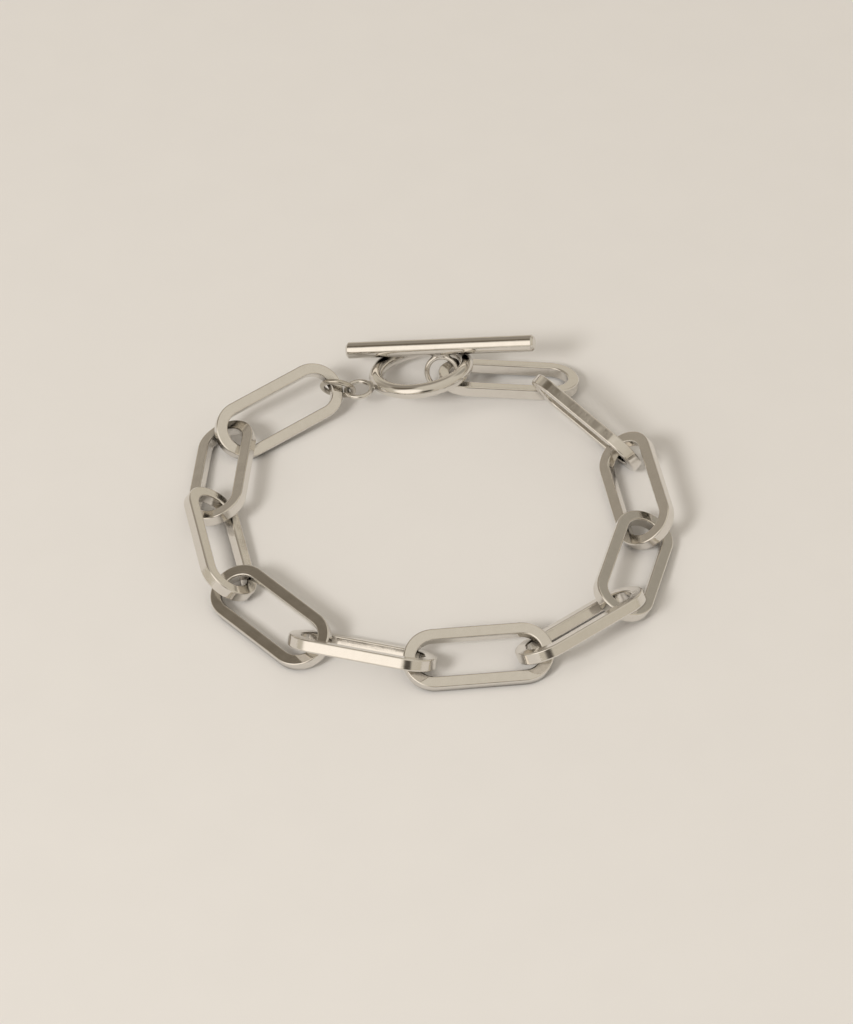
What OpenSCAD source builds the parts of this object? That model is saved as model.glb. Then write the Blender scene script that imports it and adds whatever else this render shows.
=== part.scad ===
// Link bracelet of square steel wire with a toggle clasp, fastened and lying in a loop.
// Millimetres, +Z up. The origin lies under the middle of the bracelet, on the surface it rests on.

/* [Chain links] */
// Length of one link, outside
link_len = 18.5; // [16:0.1:22]
// Width of one link, outside
link_w = 7.7; // [7.3:0.1:8.6]
// Side of the square wire that the links are bent from
wire = 1.5; // [1.35:0.05:1.6]
// Width of the broken edge along each corner of the square wire
edge = 0.15; // [0.05:0.05:0.3]

/* [Toggle ring] */
// Inside diameter of the toggle ring
ring_bore = 10; // [9:0.1:11]
// Thickness of the toggle ring's round wire
ring_wire = 1.9; // [1.6:0.1:2]
// Inside diameter of the eye soldered to the side of the toggle ring
eye_bore = 2.6; // [2.4:0.05:2.9]
// Thickness of the eye's wire
eye_wire = 0.65; // [0.5:0.05:0.7]

/* [Toggle bar] */
// Length of the toggle bar
bar_len = 25.4; // [20:0.1:32]
// Diameter of the toggle bar
bar_d = 2.2; // [1.9:0.1:2.5]
// Width of the bevel round the bar's ends
bar_bevel = 0.3; // [0.1:0.05:0.5]
// Inside diameter of the loop soldered under the middle of the bar
loop_bore = 3.5; // [3.4:0.05:3.8]
// Thickness of the loop's wire
loop_wire = 0.7; // [0.65:0.05:0.9]

/* [Jump ring] */
// Inside diameter of the jump ring between the first link and the toggle ring's eye
jump_bore = 3.4; // [3.3:0.05:3.7]
// Thickness of the jump ring's wire
jump_wire = 0.7; // [0.6:0.05:0.85]

/* [Fit] */
// Gap left where one piece hooks into or lies on another
play = 0.14; // [0.1:0.01:0.18]
// How deep a soldered eye or loop sinks into the piece that carries it
solder = 0.1; // [0.1:0.05:0.2]

/* [Hidden] */
$fn = 48;

// How the chain lies, one row a link from the toggle ring's end round to the bar's end. Heading
// points on to the next link, nose lifts that end, lean rolls the link about its length. Back and
// aside say where the next link's end wire hooks in, seen from above: so many wire widths back
// from this link's end wire, and so many link widths to its left. The last link hooks the clasp.
HEADING = 0;
NOSE = 1;
LEAN = 2;
BACK = 3;
ASIDE = 4;
lie = [
    [-144.7, -4.2, -32.2, 1.4, -0.253],
    [-95, 2, 21.5, 2.15, -0.146],
    [-77, -1.5, -36.5, 1.85, -0.078],
    [-46, 0.5, 21.5, 2.2, -0.097],
    [-14.5, 0, -37, 1.75, 0],
    [6.5, -1, 22, 1.9, -0.156],
    [36.5, 1.5, -36, 2.15, -0.097],
    [74, -3, 21.5, 2.45, -0.146],
    [100, 2, -37, 2.44, -0.096],
    [133.5, 7.8, 61.6, -0.19, -0.855],
    [179.7, 4.2, 13.1]
];
link_count = len(lie);
last = link_count - 1;
// Trial bend in degrees, and number of rounds, for closing the loop on the clasp
trial_bend = 0.1;
closing_rounds = 4;

// How the toggle ring lies: heading along the bar, nose, lean
ring_pose = [-10, 12, -14];
// Where the eye stands round the toggle ring, and how far it is twisted out of the ring's plane
eye_angle = 213;
eye_twist = -12.5;
// Which way the jump ring is drawn towards the eye, and how it leans
pull_heading = -13;
jump_lean = -67;
// How far the jump ring has slid along the first link's end wire, as a share of its bore
jump_slide = 0.3;
// How far it is drawn off the middle of that wire towards the clasp, as a share of its bore
jump_draw = 0.035;
// How far off the middle of the toggle ring the bar lies, as a share of the ring's bore, and how
// far it has rolled
bar_across = 0.22;
bar_roll = -15.5;
// Where the last link's end wire passes through the bar's loop, along the bar and down from the
// loop's middle, as shares of the loop's bore
catch = [0.04, 0.145];

// Sizes that follow from the ones above
end_r = link_w / 2;
straight = link_len - link_w;
half_len = (link_len - wire) / 2;
eye_out = ring_bore / 2 + ring_wire + eye_bore / 2 + eye_wire - solder;
loop_drop = (bar_d + loop_bore) / 2 + loop_wire - solder;

// Turning matrix of a piece with this heading, nose and lean
function turned(heading, nose, lean) =
    [[cos(heading), -sin(heading), 0], [sin(heading), cos(heading), 0], [0, 0, 1]]
    * [[cos(nose), 0, -sin(nose)], [0, 1, 0], [sin(nose), 0, cos(nose)]]
    * [[1, 0, 0], [0, cos(lean), -sin(lean)], [0, sin(lean), cos(lean)]];
function spun(v, angle) = [cos(angle) * v.x - sin(angle) * v.y, sin(angle) * v.x + cos(angle) * v.y];

// Half the extent of a link, a ring and the bar along a direction given in the piece's own axes
function link_reach(d) =
    straight / 2 * abs(d.x) + max(
        end_r * norm([d.x, d.y]) + (wire / 2 - edge) * abs(d.z),
        (end_r - edge) * norm([d.x, d.y]) + wire / 2 * abs(d.z));
function ring_reach(d, bore, thick) = (bore + thick) / 2 * norm([d.x, d.y]) + thick / 2;
function bar_reach(d) = bar_len / 2 * abs(d.x) + bar_d / 2 * norm([d.y, d.z]);

// Seen from above, the way that a link heads, and the step from its end wire to the end wire of
// the next link that hooks into it
function ahead(i) = cos(lie[i][NOSE]) * [cos(lie[i][HEADING]), sin(lie[i][HEADING])];
function hook(i) = spun([-wire * lie[i][BACK], link_w * lie[i][ASIDE]], lie[i][HEADING]);

// The chain bends by the same small angle at every link, and swings about its start, so that it
// always closes on the clasp, whatever the sizes
function spot(i, swing, bend) = i == 0
    ? half_len * spun(ahead(0), swing)
    : spot(i - 1, swing, bend) + half_len * spun(ahead(i - 1), swing + bend * (i - 1))
        + spun(hook(i - 1), swing + bend * (i - 0.5))
        + half_len * spun(ahead(i), swing + bend * i);
function run_out(bend) = spot(last, 0, bend) + half_len * spun(ahead(last), bend * last);
function closing(want, bend, rounds) = rounds < 1
    ? bend
    : closing(want, bend + trial_bend * (want - norm(run_out(bend)))
        / (norm(run_out(bend + trial_bend)) - norm(run_out(bend))), rounds - 1);

// Height of a link's middle at which its lowest edge touches the surface
function link_height(i) = link_reach(turned(0, lie[i][NOSE], lie[i][LEAN])[2]);

// The first link's free end wire is where the clasp starts
first_turn = turned(lie[0][HEADING], lie[0][NOSE], lie[0][LEAN]);
first_wire = [0, 0, link_height(0) - half_len * sin(lie[0][NOSE])];
last_wire_height = link_height(last) + half_len * sin(lie[last][NOSE]);

// The bar lies across the toggle ring, drawn along until its loop comes up to the ring's inside.
// From the middle of the toggle ring to the middle of the bar, and to the wire that the loop
// catches
ring_turn = turned(ring_pose[0], ring_pose[1], ring_pose[2]);
bar_turn = ring_turn * turned(0, 0, bar_roll);
bar_along = (ring_bore - loop_bore) / 2 - loop_wire - play;
bar_in_ring = [bar_along, bar_across * ring_bore, (ring_wire + bar_d) / 2 + play];
catch_out = ring_turn * bar_in_ring
    + bar_turn * [catch[0] * loop_bore, 0, -loop_drop - catch[1] * loop_bore];

// The toggle ring lies on the surface, or as high as the last link's end wire holds the loop
ring_height = max(
    ring_reach(ring_turn[2], ring_bore, ring_wire),
    last_wire_height - catch_out.z
);
eye_way = ring_turn * [cos(eye_angle), sin(eye_angle), 0];
eye_height = ring_height + eye_out * eye_way.z;

// From the first link out: the jump ring hangs on the link's wire, the eye on the jump ring
jump_out = jump_draw * jump_bore;
jump_at = first_wire - first_turn * [jump_out, -jump_slide * jump_bore, 0];
eye_hook = (jump_bore + eye_bore) / 2 - play;
pull_rise = asin((eye_height - jump_at.z) / eye_hook);
jump_pose = [pull_heading, pull_rise, jump_lean];
eye_at = jump_at + eye_hook * (turned(pull_heading, pull_rise, 0) * [1, 0, 0]);
ring_at = eye_at - eye_out * eye_way;
bar_at = ring_at + ring_turn * bar_in_ring;

// The last link's end wire has to come to this point, and the chain closes up to reach it
catch_at = ring_at + catch_out;
reach = [catch_at.x, catch_at.y];
bend = closing(norm(reach), 0, closing_rounds);
swing = atan2(reach.y, reach.x) - atan2(run_out(bend).y, run_out(bend).x);

// Where each link lies, and which way it is turned
link_spots = [for (i = [0:last]) spot(i, swing, bend)];
function link_at(i) = [link_spots[i].x, link_spots[i].y, link_height(i)];
function link_pose(i) = [lie[i][HEADING] + swing + bend * i, lie[i][NOSE], lie[i][LEAN]];
function link_turn(i) = turned(link_pose(i)[0], link_pose(i)[1], link_pose(i)[2]);

// Middle of the box round everything, which the origin lies under
function low(k) = min(concat(
    [for (i = [0:last]) link_at(i)[k] - link_reach(link_turn(i)[k])],
    [ring_at[k] - ring_reach(ring_turn[k], ring_bore, ring_wire), bar_at[k] - bar_reach(ring_turn[k])]));
function high(k) = max(concat(
    [for (i = [0:last]) link_at(i)[k] + link_reach(link_turn(i)[k])],
    [ring_at[k] + ring_reach(ring_turn[k], ring_bore, ring_wire), bar_at[k] + bar_reach(ring_turn[k])]));
middle = [(low(0) + high(0)) / 2, (low(1) + high(1)) / 2, 0];

module placed(at, pose) {
    translate(at - middle) rotate([pose[2], -pose[1], pose[0]]) children();
}

module round_ring(bore, thick) {
    rotate_extrude() translate([(bore + thick) / 2, 0]) circle(d = thick);
}

// Section of the square wire with its corners broken, its inner side towards the origin
module wire_section() {
    inner = end_r - wire;
    half = wire / 2;
    polygon([
        [inner + edge, -half], [end_r - edge, -half], [end_r, -half + edge], [end_r, half - edge],
        [end_r - edge, half], [inner + edge, half], [inner, half - edge], [inner, -half + edge]
    ]);
}

module half_link() {
    translate([straight / 2, 0, 0]) rotate([0, 0, -90]) rotate_extrude(angle = 180) wire_section();
    translate([-straight / 2, 0, 0]) rotate([90, 0, 90]) linear_extrude(straight) wire_section();
}

module chain_link(i) {
    color("silver") placed(link_at(i), link_pose(i)) {
        half_link();
        rotate([0, 0, 180]) half_link();
    }
}

module jump_ring() {
    color("lightgray") placed(jump_at, jump_pose) round_ring(jump_bore, jump_wire);
}

module toggle_ring() {
    color("gainsboro") placed(ring_at, ring_pose) {
        round_ring(ring_bore, ring_wire);
        rotate([0, 0, eye_angle]) translate([eye_out, 0, 0]) rotate([eye_twist, 0, 0])
            round_ring(eye_bore, eye_wire);
    }
}

module bar_body() {
    rotate([0, 90, 0]) rotate_extrude() polygon([
        [0, -bar_len / 2], [bar_d / 2 - bar_bevel, -bar_len / 2],
        [bar_d / 2, -bar_len / 2 + bar_bevel], [bar_d / 2, bar_len / 2 - bar_bevel],
        [bar_d / 2 - bar_bevel, bar_len / 2], [0, bar_len / 2]
    ]);
}

module toggle_bar() {
    color("gainsboro") placed(ring_at, ring_pose) translate(bar_in_ring) rotate([bar_roll, 0, 0]) {
        bar_body();
        translate([0, 0, -loop_drop]) rotate([90, 0, 0]) round_ring(loop_bore, loop_wire);
    }
}

for (i = [1:link_count]) chain_link(i - 1);
jump_ring();
toggle_ring();
toggle_bar();
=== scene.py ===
import math

import bpy
import numpy as np
from mathutils import Matrix, Vector


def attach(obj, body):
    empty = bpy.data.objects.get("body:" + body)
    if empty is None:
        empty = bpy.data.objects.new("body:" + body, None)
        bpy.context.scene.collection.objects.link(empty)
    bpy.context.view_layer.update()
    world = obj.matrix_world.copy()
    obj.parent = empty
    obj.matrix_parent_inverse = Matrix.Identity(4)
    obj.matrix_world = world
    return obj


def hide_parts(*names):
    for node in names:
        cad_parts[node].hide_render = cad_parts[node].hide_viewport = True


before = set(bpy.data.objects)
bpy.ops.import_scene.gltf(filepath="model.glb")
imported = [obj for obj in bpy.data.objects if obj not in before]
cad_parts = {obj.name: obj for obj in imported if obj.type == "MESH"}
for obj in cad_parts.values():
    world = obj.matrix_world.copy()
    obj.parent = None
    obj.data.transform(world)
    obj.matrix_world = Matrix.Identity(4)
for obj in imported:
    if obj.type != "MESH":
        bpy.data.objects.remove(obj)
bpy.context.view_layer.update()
MM = 0.001

# ---------------------------------------------------------------------------------------------
# Chain links
# Eleven long oval links of square stainless steel wire, 1.5 mm thick. Each is bent round a
# former, soldered shut in one side and tumbled bright, so its corners are softly broken.
# ---------------------------------------------------------------------------------------------
LINK_CORNER = 0.22 * MM      # radius that tumbling leaves on the wire's four corners
LINK_STATIONS = 40           # points round each end bend
LINK_SIDE_STATIONS = 24      # points along each straight side
DRAWN_LINE = (6.25 * MM, 0.125 * MM)    # length of the drawing lines, and how far they lie apart
RIPPLE_LENGTH = 2.38 * MM    # soft waves that bending and tumbling leave
KNOCK_SPACING = 2 / 3 * MM   # how far the small pits and knocks lie apart
KNOCK_REACH = 0.28           # share of that spacing that a pit reaches out from its middle
HAZE_SIZE = 1.11 * MM        # patches of more and less even polish
PAINTED_SHADE_REACH = 1.0 * MM     # how near a neighbour or the table must be for the painted shade to darken the wire
PAINTED_SHADE_TONE = "#3E372E"     # dark tone painted into the wire as shade in its crevices


def lay(node):
    """Where a CAD piece lies: its middle, its own axes from longest to shortest, and its sizes."""
    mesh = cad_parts[node].data
    mesh.calc_loop_triangles()
    points = np.array([v.co for v in mesh.vertices], float)
    faces = points[np.array([t.vertices for t in mesh.loop_triangles])]
    area = np.linalg.norm(np.cross(faces[:, 1] - faces[:, 0], faces[:, 2] - faces[:, 0]), axis=1)
    middle = (faces.mean(1) * area[:, None]).sum(0) / area.sum()
    arms = faces - middle
    whole = arms.sum(1)
    spread = np.einsum("f,fij,fik->jk", area, arms, arms) + np.einsum("f,fj,fk->jk", area, whole, whole)
    axes = np.linalg.eigh(spread)[1].T[::-1]
    if np.linalg.det(axes) < 0:
        axes[2] *= -1
    along = (points - middle) @ axes.T
    middle = middle + (along.max(0) + along.min(0)) / 2 @ axes
    return middle, axes, np.ptp(along, axis=0)


def swept(name, stations, section, material, closed=True):
    """A wire: one section, of points with their normals, carried along stations of middle, outward
    and up. Each face corner keeps its place in the wire as it was drawn, for the polish marks."""
    count, sides = len(stations), len(section)
    middles = np.array([s[0] for s in stations])
    outward = np.array([s[1] for s in stations])
    up = np.array([s[2] for s in stations])
    a, b, na, nb = np.array(section).T
    points = middles[:, None] + a[None, :, None] * outward[:, None] + b[None, :, None] * up[:, None]
    normals = na[None, :, None] * outward[:, None] + nb[None, :, None] * up[:, None]
    steps = np.linalg.norm(np.roll(middles, -1, 0) - middles, axis=1)
    run = np.concatenate([[0], np.cumsum(steps)])
    faces, drawn = [], []
    for i in range(count if closed else count - 1):
        k = (i + 1) % count
        for j in range(sides):
            m = (j + 1) % sides
            faces.append((i * sides + j, i * sides + m, k * sides + m, k * sides + j))
            drawn += [(run[i], a[j], b[j]), (run[i], a[m], b[m]),
                      (run[i + 1], a[m], b[m]), (run[i + 1], a[j], b[j])]
    mesh = bpy.data.meshes.new(name)
    mesh.from_pydata(points.reshape(-1, 3).tolist(), [], faces)
    mesh.attributes.new("drawn", "FLOAT_VECTOR", "CORNER").data.foreach_set("vector", np.ravel(drawn))
    mesh.shade_smooth()
    mesh.normals_split_custom_set_from_vertices(normals.reshape(-1, 3).tolist())
    mesh.materials.append(material)
    piece = bpy.data.objects.new(name, mesh)
    bpy.context.scene.collection.objects.link(piece)
    return piece


def square_section(wire, corner, steps=5):
    """Square wire with rounded corners: (out, up, normal out, normal up) round the section."""
    flat = wire / 2 - corner
    section = []
    for quarter in range(4):
        for step in range(steps + 1):
            turn = math.pi / 2 * (quarter + step / steps)
            c, s = math.cos(turn), math.sin(turn)
            side = math.pi / 2 * quarter + math.pi / 4
            section.append((flat * np.sign(math.cos(side)) + corner * c,
                            flat * np.sign(math.sin(side)) + corner * s, c, s))
    return section


def end_bend(middle, radius, start):
    """Half a turn of wire round one end of a link: x, y and the way out, in the link's plane."""
    turns = [start - math.pi * i / LINK_STATIONS for i in range(LINK_STATIONS)]
    return [(middle + radius * math.cos(t), radius * math.sin(t), math.cos(t), math.sin(t)) for t in turns]


def oval_stations(middle, axes, length, width, wire):
    """Stations round a link, from the middle of the side that is soldered shut."""
    radius = (width - wire) / 2
    side = (length - width) / 2
    half = LINK_SIDE_STATIONS // 2
    flat = [(side * i / half, radius, 0.0, 1.0) for i in range(half)]
    flat += end_bend(side, radius, math.pi / 2)
    flat += [(side - side * i / half, -radius, 0.0, -1.0) for i in range(LINK_SIDE_STATIONS)]
    flat += end_bend(-side, radius, -math.pi / 2)
    flat += [(-side + side * i / half, radius, 0.0, 1.0) for i in range(half)]
    return [(middle + x * axes[0] + y * axes[1], out_x * axes[0] + out_y * axes[1], axes[2])
            for x, y, out_x, out_y in flat]


def linear(colour):
    """An sRGB hex colour as the linear RGBA that nodes take."""
    parts = [int(colour[i:i + 2], 16) / 255 for i in (1, 3, 5)]
    return [p / 12.92 if p <= 0.04045 else ((p + 0.055) / 1.055) ** 2.4 for p in parts] + [1.0]


def node(tree, kind, settings=None, **sockets):
    """Adds a node. Settings are its own properties; sockets are values, or (node, output) links,
    and are named, or numbered as i0, i1 and so on where several share a name."""
    made = tree.nodes.new(kind)
    for key, value in (settings or {}).items():
        setattr(made, key, value)
    for key, value in sockets.items():
        numbered = key[0] == "i" and key[1:].isdigit()
        socket = made.inputs[int(key[1:]) if numbered else key.replace("_", " ")]
        if isinstance(value, tuple) and isinstance(value[0], bpy.types.Node):
            tree.links.new(value[0].outputs[value[1]], socket)
        else:
            socket.default_value = value
    return made


# Tumbled bright stainless steel: mirror-like, slightly warm grey, with fine drawing lines left
# along the wire, tiny pits and a faint ripple that makes its reflections waver.
def bright_steel(name, tint, roughness, ripple, lines):
    made = bpy.data.materials.new(name)
    made.use_nodes = True
    tree = made.node_tree
    tree.nodes.clear()
    place = node(tree, "ShaderNodeAttribute", {"attribute_name": "drawn"})
    # drawing lines run along the wire, far longer than they lie apart
    along, across = 1 / DRAWN_LINE[0], 1 / DRAWN_LINE[1]
    stretched = node(tree, "ShaderNodeMapping", Vector=(place, "Vector"), Scale=(along, across, across))
    drawn_lines = node(tree, "ShaderNodeTexNoise", Vector=(stretched, "Vector"), Scale=1.0, Detail=3.0,
                       Roughness=0.6)
    # ripple, which makes long reflections waver
    waves = node(tree, "ShaderNodeTexNoise", Vector=(place, "Vector"), Scale=1 / RIPPLE_LENGTH, Detail=1.5,
                 Roughness=0.45)
    # pits and knocks, drawn wider than the real ones, which are too fine to show
    knocks = node(tree, "ShaderNodeTexVoronoi", {"feature": "F1"}, Vector=(place, "Vector"),
                  Scale=1 / KNOCK_SPACING)
    dents = node(tree, "ShaderNodeMapRange", Value=(knocks, "Distance"), From_Min=0.0, From_Max=KNOCK_REACH,
                 To_Min=0.0, To_Max=1.0)
    # haze, where the tumbling left the polish a little duller and darker
    haze = node(tree, "ShaderNodeTexNoise", Vector=(place, "Vector"), Scale=1 / HAZE_SIZE, Detail=4.0,
                Roughness=0.65)
    rough = node(tree, "ShaderNodeMapRange", Value=(haze, "Fac"), From_Min=0.3, From_Max=0.7,
                 To_Min=roughness * 0.7, To_Max=roughness * 1.5)
    colour = node(tree, "ShaderNodeMix", {"data_type": "RGBA"}, Factor=(haze, "Fac"))
    colour.inputs[6].default_value = linear(tint[0])
    colour.inputs[7].default_value = linear(tint[1])
    # painted shade: where ambient occlusion finds other parts or the table within reach, the colour is mixed
    # towards a dark tone, standing in for the shade and dark reflections in crevices
    open_sky = node(tree, "ShaderNodeAmbientOcclusion", {"samples": 4}, Distance=PAINTED_SHADE_REACH)
    unshaded_share = node(tree, "ShaderNodeMapRange", Value=(open_sky, "AO"), From_Min=0.35, From_Max=0.95,
                   To_Min=0.0, To_Max=1.0)
    painted_shade_mix = node(tree, "ShaderNodeMix", {"data_type": "RGBA"}, Factor=(unshaded_share, "Result"), i7=(colour, 2))
    painted_shade_mix.inputs[6].default_value = linear(PAINTED_SHADE_TONE)
    soft = node(tree, "ShaderNodeBump", Strength=ripple, Distance=0.12 * MM, Height=(waves, "Fac"))
    fine = node(tree, "ShaderNodeBump", Strength=lines, Distance=0.012 * MM, Height=(drawn_lines, "Fac"),
                Normal=(soft, "Normal"))
    pitted = node(tree, "ShaderNodeBump", Strength=0.25, Distance=0.01 * MM, Height=(dents, "Result"),
                  Normal=(fine, "Normal"))
    steel = node(tree, "ShaderNodeBsdfPrincipled", Base_Color=(painted_shade_mix, 2), Metallic=1.0,
                 Roughness=(rough, "Result"), Normal=(pitted, "Normal"))
    node(tree, "ShaderNodeOutputMaterial", Surface=(steel, "BSDF"))
    return made


link_steel = bright_steel("tumbled_steel_links", ("#DDD9D3", "#E8E5E0"), 0.10, 0.3, 0.35)
for name in sorted(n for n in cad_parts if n.startswith("link_")):
    middle, axes, size = lay(name)
    stations = oval_stations(middle, axes, size[0], size[1], size[2])
    link = swept("square_wire_" + name, stations, square_section(size[2], LINK_CORNER), link_steel)
    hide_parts(name)
    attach(link, "root")

# ---------------------------------------------------------------------------------------------
# Jump ring
# One loose ring of round stainless steel wire, wound on a mandrel, sawn apart and closed round
# the first link's end and the toggle ring's eye. Its ends meet in a hairline cut.
# ---------------------------------------------------------------------------------------------
RING_SAW_CUT = 0.04 * MM     # the hairline that stays open between the ring's two ends
RING_SAW_TURN = 40           # where the cut stands round the ring, degrees
WHOLE_TURN = 2 * math.pi


def round_section(thick, sides=28):
    """Round wire: (out, up, normal out, normal up) round the section."""
    turns = [WHOLE_TURN * i / sides for i in range(sides)]
    return [(thick / 2 * math.cos(t), thick / 2 * math.sin(t), math.cos(t), math.sin(t)) for t in turns]


def ring_stations(middle, axes, radius, start, end, count=96):
    """Stations round a ring from one turn to another, in radians."""
    stations = []
    for i in range(count):
        turn = start + (end - start) * i / (count - 1)
        out = math.cos(turn) * axes[0] - math.sin(turn) * axes[1]
        stations.append((middle + radius * out, out, axes[2]))
    return stations


# painted shade: the jump ring's steel is tinted darker than the links' steel, standing in for the dark
# neighbours it mirrors and the shade between them
shade_darkened_ring_steel = bright_steel("tumbled_steel_jump_ring", ("#BDB7AD", "#CFCAC1"), 0.09, 0.2, 0.3)
middle, axes, size = lay("jump_ring")
wire = size[2]
radius = (size[0] - wire) / 2
half_cut = RING_SAW_CUT / 2 / radius
start = math.radians(RING_SAW_TURN) + half_cut
stations = ring_stations(middle, axes, radius, start, start + WHOLE_TURN - 2 * half_cut)
ring = swept("round_wire_jump_ring", stations, round_section(wire), shade_darkened_ring_steel, closed=False)
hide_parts("jump_ring")
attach(ring, "root")

# ---------------------------------------------------------------------------------------------
# Toggle ring
# A ring of 1.9 mm round steel rod, with a small wire eye soldered to its side by a fillet of
# hard solder, then polished as one piece.
# ---------------------------------------------------------------------------------------------
CLASP_AT = Vector((-0.9688, 23.6172, 3.9068)) * MM    # middle of the toggle ring
CLASP_POSE = (-10, 12, -14)                           # heading, nose and lean, degrees
RING_BORE, RING_ROD = 10.0 * MM, 1.9 * MM
EYE_BORE, EYE_WIRE = 2.6 * MM, 0.65 * MM
EYE_TURN, EYE_TWIST = 213, -12.5    # where the eye stands round the ring, and its lean, degrees
SOLDERED = 0.1 * MM          # how deep the eye and the bar's loop sink into the rod
SOLDER_FILLET = 0.45 * MM    # reach of the solder round the joint
SOLDER_TUCK = 0.1 * MM       # how far the solder's hidden edge is tucked under at most
RING_STATIONS, RING_SIDES = 240, 56     # points round the ring and round its rod
EYE_STATIONS, EYE_SIDES = 144, 36


def posed(heading, nose, lean):
    """Turning matrix of a piece with this heading, nose and lean, in degrees."""
    swing = Matrix.Rotation(math.radians(heading), 3, "Z")
    pitch = Matrix.Rotation(math.radians(-nose), 3, "Y")
    roll = Matrix.Rotation(math.radians(lean), 3, "X")
    return np.array(swing @ pitch @ roll)


def closed_ring(middle, turn, radius, count):
    """Stations evenly round a whole ring that lies in the first two axes of its turn."""
    return ring_stations(middle, turn.T, radius, 0, WHOLE_TURN - WHOLE_TURN / count, count)


def from_ring(middle, turn, radius, thick):
    """Distance of points from the surface of a ring, and the way out of it."""
    def measure(points):
        own = (points - middle) @ turn
        flat = np.hypot(own[:, 0], own[:, 1])
        off, up = flat - radius, own[:, 2]
        far = np.maximum(np.hypot(off, up), 1e-9)
        way = np.stack([off / far * own[:, 0] / flat, off / far * own[:, 1] / flat, up / far], 1)
        return far - thick / 2, way @ turn.T
    return measure


def from_rod(middle, turn, thick):
    """The same for a long rod along its own first axis."""
    def measure(points):
        own = (points - middle) @ turn
        far = np.maximum(np.hypot(own[:, 1], own[:, 2]), 1e-9)
        way = np.stack([np.zeros(len(far)), own[:, 1] / far, own[:, 2] / far], 1)
        return far - thick / 2, way @ turn.T
    return measure


def fillet(piece, mine, other):
    """Raises a swept piece into the solder round its joint with another, and sinks it beyond."""
    mesh = piece.data
    start = np.array([v.co for v in mesh.vertices], float)
    corners, owners = np.zeros(3 * len(mesh.loops)), np.zeros(len(mesh.loops), int)
    mesh.corner_normals.foreach_get("vector", corners)
    mesh.loops.foreach_get("vertex_index", owners)
    kept = np.zeros((len(start), 3))
    kept[owners] = corners.reshape(-1, 3)
    close = other(start)[0] < SOLDER_FILLET
    out = mine(start)[1] * close[:, None]
    raised = np.zeros(len(start))
    # the height of a smooth blend of the two surfaces, found in a few rounds
    for _ in range(12):
        a, b = mine(start + raised[:, None] * out)[0], other(start + raised[:, None] * out)[0]
        near = np.clip(1 - np.abs(a - b) / SOLDER_FILLET, 0, None)
        raised -= 0.7 * (np.minimum(a, b) - near ** 2 * SOLDER_FILLET / 4)
        raised = np.clip(raised, -SOLDER_FILLET, SOLDER_FILLET)
    points = start + raised[:, None] * out
    (a, out_a), (b, out_b) = mine(points), other(points)
    share = np.clip(0.5 + 0.5 * (b - a) / SOLDER_FILLET, 0, 1)[:, None]
    normals = share * out_a + (1 - share) * out_b
    inside = other(start)[0] < 0
    points[inside] = start[inside]
    past = close & ~inside & (a > b)
    points[past] -= normals[past] * np.minimum(0.5 * (a - b)[past], SOLDER_TUCK)[:, None]
    mesh.vertices.foreach_set("co", points.ravel())
    normals = np.where(close[:, None], normals / np.linalg.norm(normals, axis=1)[:, None], kept)
    mesh.normals_split_custom_set_from_vertices(normals.tolist())


clasp_steel = bright_steel("polished_steel_clasp", ("#DAD6D0", "#E6E3DE"), 0.07, 0.2, 0.25)
ring_middle, ring_turn = np.array(CLASP_AT), posed(*CLASP_POSE)
ring_radius = (RING_BORE + RING_ROD) / 2
eye_radius = (EYE_BORE + EYE_WIRE) / 2
eye_out = RING_BORE / 2 + RING_ROD + EYE_BORE / 2 + EYE_WIRE - SOLDERED
eye_turn = ring_turn @ posed(EYE_TURN, 0, EYE_TWIST)
eye_middle = ring_middle + eye_out * eye_turn[:, 0]
ring_form = from_ring(ring_middle, ring_turn, ring_radius, RING_ROD)
eye_form = from_ring(eye_middle, eye_turn, eye_radius, EYE_WIRE)
rod_ring = swept("rod_toggle_ring", closed_ring(ring_middle, ring_turn, ring_radius, RING_STATIONS),
                 round_section(RING_ROD, RING_SIDES), clasp_steel)
fillet(rod_ring, ring_form, eye_form)
wire_eye = swept("wire_eye_of_toggle_ring", closed_ring(eye_middle, eye_turn, eye_radius, EYE_STATIONS),
                 round_section(EYE_WIRE, EYE_SIDES), clasp_steel)
fillet(wire_eye, eye_form, ring_form)
for piece in (rod_ring, wire_eye):
    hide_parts("toggle_ring")
    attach(piece, "root")

# ---------------------------------------------------------------------------------------------
# Toggle bar
# A straight 2.2 mm steel rod, faced and chamfered at both ends, with a wire loop soldered under
# its middle that holds the last link. Polished like the toggle ring.
# ---------------------------------------------------------------------------------------------
BAR_AT = Vector((1.4893, 25.8894, 5.9658)) * MM       # middle of the bar
BAR_ROLL = -15.5             # turn about its own length from the ring's pose, degrees
BAR_LENGTH, BAR_ROD, BAR_CHAMFER = 25.4 * MM, 2.2 * MM, 0.3 * MM
BAR_SOFTENED = 0.07 * MM     # radius that polishing leaves on the chamfer's two edges
BAR_STATIONS, BAR_SIDES = 200, 56       # points along the bar and round it
LOOP_BORE, LOOP_WIRE = 3.5 * MM, 0.7 * MM
LOOP_STATIONS, LOOP_SIDES = 160, 40


def rod_profile(length, radius, chamfer, soft):
    """Half outline of a rod from one end's middle to the other's: along, out, and normal. Both
    edges of each chamfer are rounded over half a right angle, in four steps."""
    half = length / 2
    bite = soft * math.tan(math.radians(22.5))
    end = [(half, 0.0, 1.0, 0.0), (half, (radius - chamfer - bite) / 2, 1.0, 0.0)]
    corners = [(half - soft, radius - chamfer - bite, 0), (half - chamfer - bite, radius - soft, 45)]
    for along, out, first in corners:
        for step in range(5):
            turn = math.radians(first + 45 * step / 4)
            end.append((along + soft * math.cos(turn), out + soft * math.sin(turn),
                        math.cos(turn), math.sin(turn)))
    straight = length - 2 * chamfer - 2 * bite
    inner = [(half - chamfer - bite - straight * i / BAR_STATIONS, radius, 0.0, 1.0)
             for i in range(1, BAR_STATIONS)]
    return end + inner + [(-a, o, -na, no) for a, o, na, no in reversed(end)]


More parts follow.
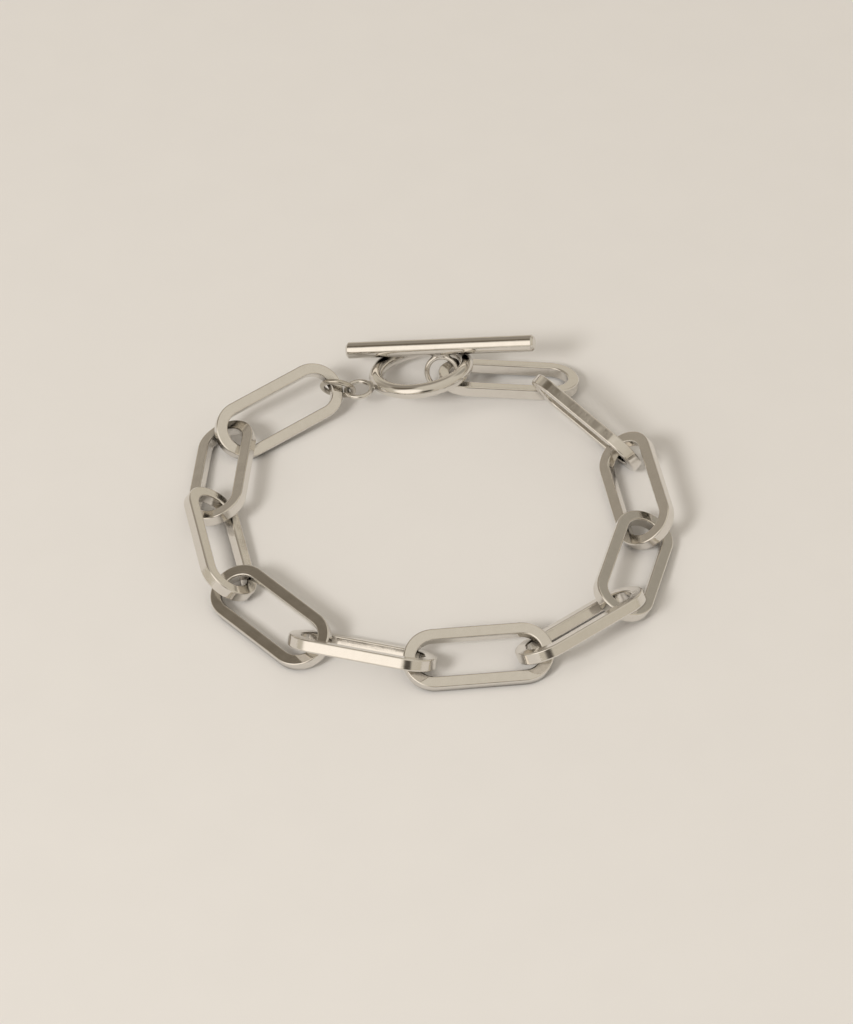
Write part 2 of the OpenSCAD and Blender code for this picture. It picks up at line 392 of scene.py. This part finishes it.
def lathed(name, middle, turn, profile, material, sides):
    """A body of revolution about its own first axis."""
    points, normals, faces, drawn = [], [], [], []
    for along, out, normal_along, normal_out in profile:
        for j in range(sides):
            c, s = math.cos(WHOLE_TURN * j / sides), math.sin(WHOLE_TURN * j / sides)
            points.append(middle + turn @ np.array((along, out * c, out * s)))
            normals.append(turn @ np.array((normal_along, normal_out * c, normal_out * s)))
    for i in range(len(profile) - 1):
        for j in range(sides):
            m = (j + 1) % sides
            faces.append((i * sides + j, (i + 1) * sides + j, (i + 1) * sides + m, i * sides + m))
            for k, q in ((i, j), (i + 1, j), (i + 1, j + 1), (i, j + 1)):
                turned = WHOLE_TURN * q / sides
                drawn += [(profile[k][0], profile[k][1] * math.cos(turned), profile[k][1] * math.sin(turned))]
    mesh = bpy.data.meshes.new(name)
    mesh.from_pydata([tuple(p) for p in points], [], faces)
    mesh.attributes.new("drawn", "FLOAT_VECTOR", "CORNER").data.foreach_set("vector", np.ravel(drawn))
    mesh.shade_smooth()
    mesh.normals_split_custom_set_from_vertices([tuple(n) for n in normals])
    mesh.materials.append(material)
    piece = bpy.data.objects.new(name, mesh)
    bpy.context.scene.collection.objects.link(piece)
    return piece


bar_middle, bar_turn = np.array(BAR_AT), ring_turn @ posed(0, 0, BAR_ROLL)
loop_radius = (LOOP_BORE + LOOP_WIRE) / 2
loop_drop = (BAR_ROD + LOOP_BORE) / 2 + LOOP_WIRE - SOLDERED
loop_middle = bar_middle - loop_drop * bar_turn[:, 2]
loop_turn = bar_turn @ posed(0, 0, 90)
bar_form = from_rod(bar_middle, bar_turn, BAR_ROD)
loop_form = from_ring(loop_middle, loop_turn, loop_radius, LOOP_WIRE)
rod_bar = lathed("rod_toggle_bar", bar_middle, bar_turn,
                 rod_profile(BAR_LENGTH, BAR_ROD / 2, BAR_CHAMFER, BAR_SOFTENED), clasp_steel, BAR_SIDES)
wire_loop = swept("wire_loop_of_toggle_bar", closed_ring(loop_middle, loop_turn, loop_radius, LOOP_STATIONS),
                  round_section(LOOP_WIRE, LOOP_SIDES), clasp_steel)
fillet(wire_loop, loop_form, bar_form)
fillet(rod_bar, bar_form, loop_form)
for piece in (rod_bar, wire_loop):
    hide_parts("toggle_bar")
    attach(piece, "root")

# ---------------------------------------------------------------------------------------------
# Studio
# A plain warm white table, a soft window-like key light from the front left and the pale room
# that the metal mirrors, with the camera at the photograph's angle.
# ---------------------------------------------------------------------------------------------
FLOOR_COLOURS = ("#E4E3E4", "#E7E6E7")
FLOOR_REACH = 1.6            # metres from the middle to each side
FLOOR_SQUARES = 12
MOTTLE_SIZE = 8.33 * MM      # patches of the board's paint
CAMERA_TILT = 44.94          # degrees above the horizon
CAMERA_DISTANCE = 468 * MM
CAMERA_FOCAL = 3679          # focal length in pixels of the picture, which is 1024 high
CAMERA_AIM = Vector((-0.283, 1.251, 0)) * MM

floor_mesh = bpy.data.meshes.new("table_top")
step = 2 * FLOOR_REACH / FLOOR_SQUARES
line = FLOOR_SQUARES + 1
spots = [(-FLOOR_REACH + step * i, -FLOOR_REACH + step * j, 0.0) for j in range(line) for i in range(line)]
squares = [(j * line + i, j * line + i + 1, (j + 1) * line + i + 1, (j + 1) * line + i)
           for j in range(FLOOR_SQUARES) for i in range(FLOOR_SQUARES)]
floor_mesh.from_pydata(spots, [], squares)
floor = bpy.data.objects.new("table_top", floor_mesh)
bpy.context.scene.collection.objects.link(floor)

# Matt painted board: a pale, even white with a barely visible mottle, without gloss
paint = bpy.data.materials.new("matt_painted_board")
paint.use_nodes = True
tree = paint.node_tree
tree.nodes.clear()
place = node(tree, "ShaderNodeTexCoord")
mottle = node(tree, "ShaderNodeTexNoise", Vector=(place, "Object"), Scale=1 / MOTTLE_SIZE, Detail=2.0)
shade = node(tree, "ShaderNodeMix", {"data_type": "RGBA"}, Factor=(mottle, "Fac"))
shade.inputs[6].default_value = linear(FLOOR_COLOURS[0])
shade.inputs[7].default_value = linear(FLOOR_COLOURS[1])
board = node(tree, "ShaderNodeBsdfPrincipled", Base_Color=(shade, 2), Roughness=0.85)
node(tree, "ShaderNodeOutputMaterial", Surface=(board, "BSDF"))
floor_mesh.materials.append(paint)


def softbox(name, azimuth, elevation, distance, width, height, power, colour):
    """A rectangular soft light that faces the bracelet. Azimuth 0 is behind it, 90 at its right."""
    light = bpy.data.lights.new(name, "AREA")
    light.shape = "RECTANGLE"
    light.size, light.size_y = width, height
    light.energy = power
    light.color = linear(colour)[:3]
    made = bpy.data.objects.new(name, light)
    a, e = math.radians(azimuth), math.radians(elevation)
    made.location = distance * Vector((math.sin(a) * math.cos(e), math.cos(a) * math.cos(e), math.sin(e)))
    made.rotation_mode = "QUATERNION"
    made.rotation_quaternion = (-made.location).to_track_quat("-Z", "Y")
    bpy.context.scene.collection.objects.link(made)
    return made


key_light = softbox("key_light", -144, 39, 1.1, 0.24, 0.24, 5.9, "#FFFBF3")
key_light.visible_glossy = False     # the metal mirrors the room's own window instead

# The room that the metal mirrors: warm walls and ceiling, and patches that each lie round one
# direction: azimuth and elevation, radius of the full tone and of its rim, colour, strength
ROOM_PATCHES = [
    (-137, 34, 18, 34, "#FFF6EA", 1.28),     # the window with its pale surround
    (-72, 53, 12, 22, "#7A7061", 0.85),      # dark curtain beside it
    (-22, 42, 12, 34, "#A0978A", 0.93),      # shaded wall at the back
    (-64, 19, 8, 22, "#A79E90", 0.98),       # shaded wall at the left
    (41, 34, 8, 20, "#A9A295", 0.97),        # cupboard at the back right
    (172, 20, 6, 18, "#645D54", 0.7),        # dim front of the room
]
room = bpy.data.worlds.new("warm_room")
room.use_nodes = True
tree = room.node_tree
tree.nodes.clear()
look = node(tree, "ShaderNodeTexCoord")
heights = node(tree, "ShaderNodeSeparateXYZ", Vector=(look, "Generated"))
tone = node(tree, "ShaderNodeMapRange", Value=(heights, "Z"), From_Min=-0.1, From_Max=1.0,
            To_Min=0.0, To_Max=1.0)
walls = node(tree, "ShaderNodeMix", {"data_type": "RGBA"}, Factor=(tone, "Result"))
walls.inputs[6].default_value = linear("#CAC1B0")
walls.inputs[7].default_value = linear("#DAD2C4")
seen = (walls, 2)
for azimuth, elevation, full, rim, colour, strength in ROOM_PATCHES:
    a, e = math.radians(azimuth), math.radians(elevation)
    towards = (math.sin(a) * math.cos(e), math.cos(a) * math.cos(e), math.sin(e))
    facing = node(tree, "ShaderNodeVectorMath", {"operation": "DOT_PRODUCT"}, i0=(look, "Generated"),
                  i1=towards)
    share = node(tree, "ShaderNodeMapRange", {"interpolation_type": "SMOOTHSTEP"}, Value=(facing, "Value"),
                 From_Min=math.cos(math.radians(rim)), From_Max=math.cos(math.radians(full)))
    patched = node(tree, "ShaderNodeMix", {"data_type": "RGBA"}, Factor=(share, "Result"))
    tree.links.new(seen[0].outputs[seen[1]], patched.inputs[6])
    patched.inputs[7].default_value = [c * strength for c in linear(colour)[:3]] + [1.0]
    seen = (patched, 2)
glow = node(tree, "ShaderNodeBackground", Color=seen, Strength=1.0)
node(tree, "ShaderNodeOutputWorld", Surface=(glow, "Background"))
bpy.context.scene.world = room
bpy.context.scene.view_settings.view_transform = "Standard"

lens = bpy.data.cameras.new("photo_camera")
lens.sensor_width = 36
lens.lens = 36 * CAMERA_FOCAL / 1024
lens.clip_start, lens.clip_end = 0.01, 10
camera = bpy.data.objects.new("photo_camera", lens)
tilt = math.radians(CAMERA_TILT)
camera.location = CAMERA_AIM + CAMERA_DISTANCE * Vector((0, -math.cos(tilt), math.sin(tilt)))
camera.rotation_euler = (math.pi / 2 - tilt, 0, 0)
bpy.context.scene.collection.objects.link(camera)
bpy.context.scene.camera = camera
